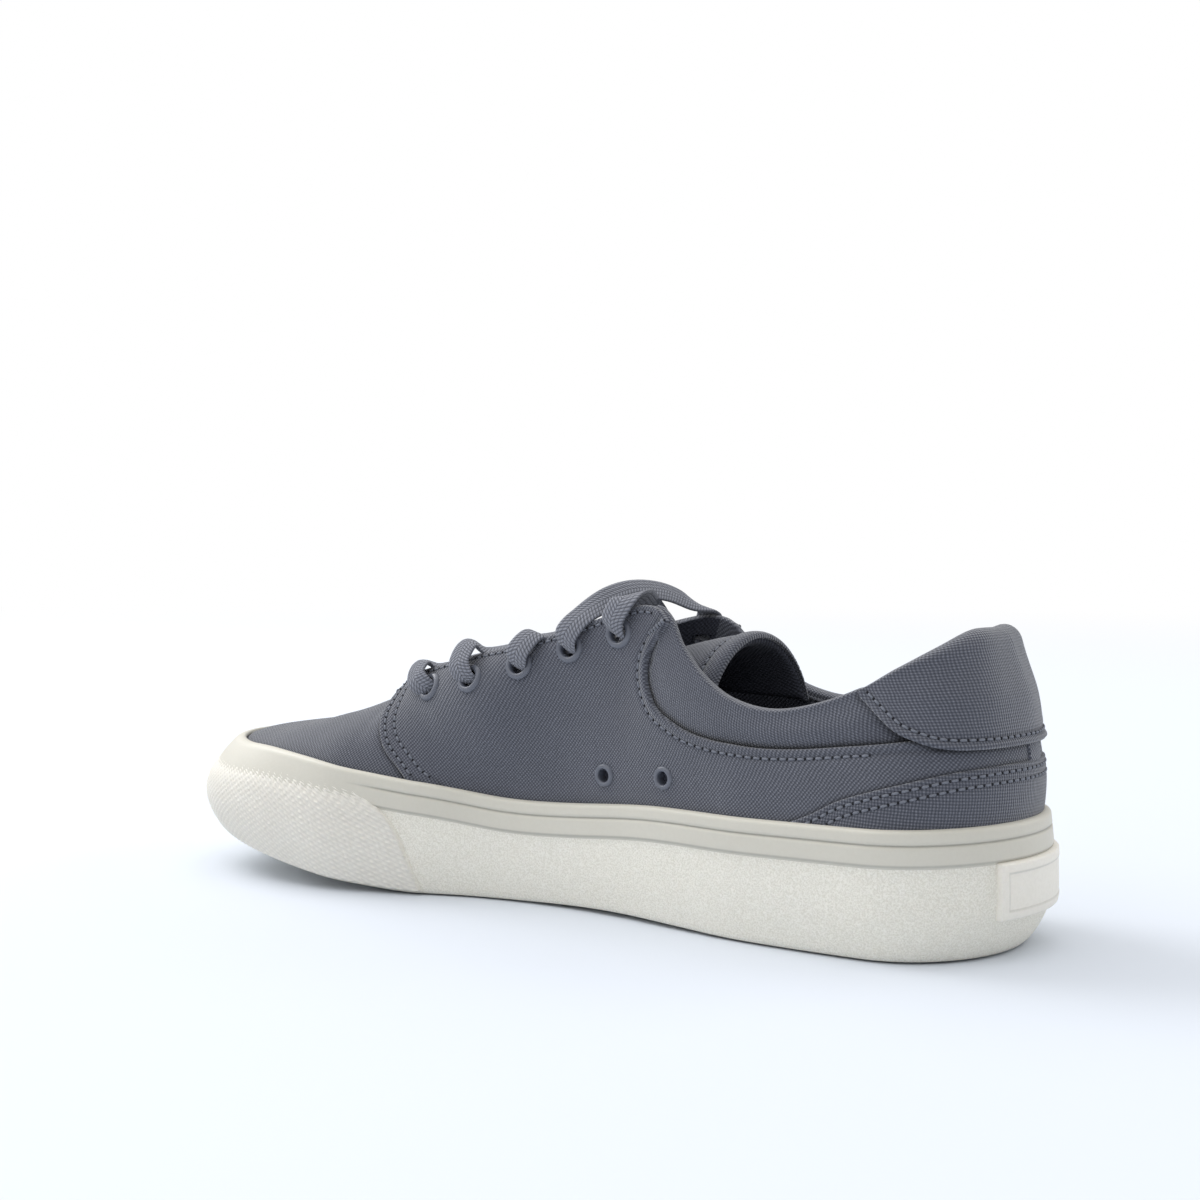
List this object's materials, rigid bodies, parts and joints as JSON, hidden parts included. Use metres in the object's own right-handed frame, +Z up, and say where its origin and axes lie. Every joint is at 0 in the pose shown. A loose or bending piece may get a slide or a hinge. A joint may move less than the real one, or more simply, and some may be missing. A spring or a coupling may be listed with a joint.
{
  "type": "skateboarding shoe",
  "caption": "Low canvas skateboarding shoe for the right foot, laced and empty, on a thick rubber sole with a toe bumper and padded collar.",
  "frame": {"origin": "middle of the shoe's outline from above, on the floor under the sole", "axes": "+X to the toe, +Y to the inner (medial) side of the right foot, +Z up"},
  "size_m": [0.3002, 0.1126, 0.0984],
  "materials": {
    "canvas": "heavy cotton duck, dull grey-blue",
    "lining": "dark soft textile",
    "rubber": "vulcanised off-white rubber, satin",
    "enamel": "grey enamel on pressed eyelets, satin",
    "braid": "flat braided lace, dull grey-blue"
  },
  "bodies": {
    "root": {"sole": "rubber", "foxing": "rubber", "toe_bumper": "rubber", "heel_label": "rubber", "insole": "lining", "upper": "canvas", "heel_counter": "canvas", "heel_tab": "canvas", "tongue": "canvas", "eyelet_medial_1": "enamel", "eyelet_medial_2": "enamel", "eyelet_medial_3": "enamel", "eyelet_medial_4": "enamel", "eyelet_medial_5": "enamel", "eyelet_lateral_1": "enamel", "eyelet_lateral_2": "enamel", "eyelet_lateral_3": "enamel", "eyelet_lateral_4": "enamel", "eyelet_lateral_5": "enamel", "vent_1": "enamel", "vent_2": "enamel", "lace_crossing_1": "braid", "lace_crossing_2": "braid", "lace_crossing_3": "braid", "lace_crossing_4": "braid"}
  },
  "joints": []
}
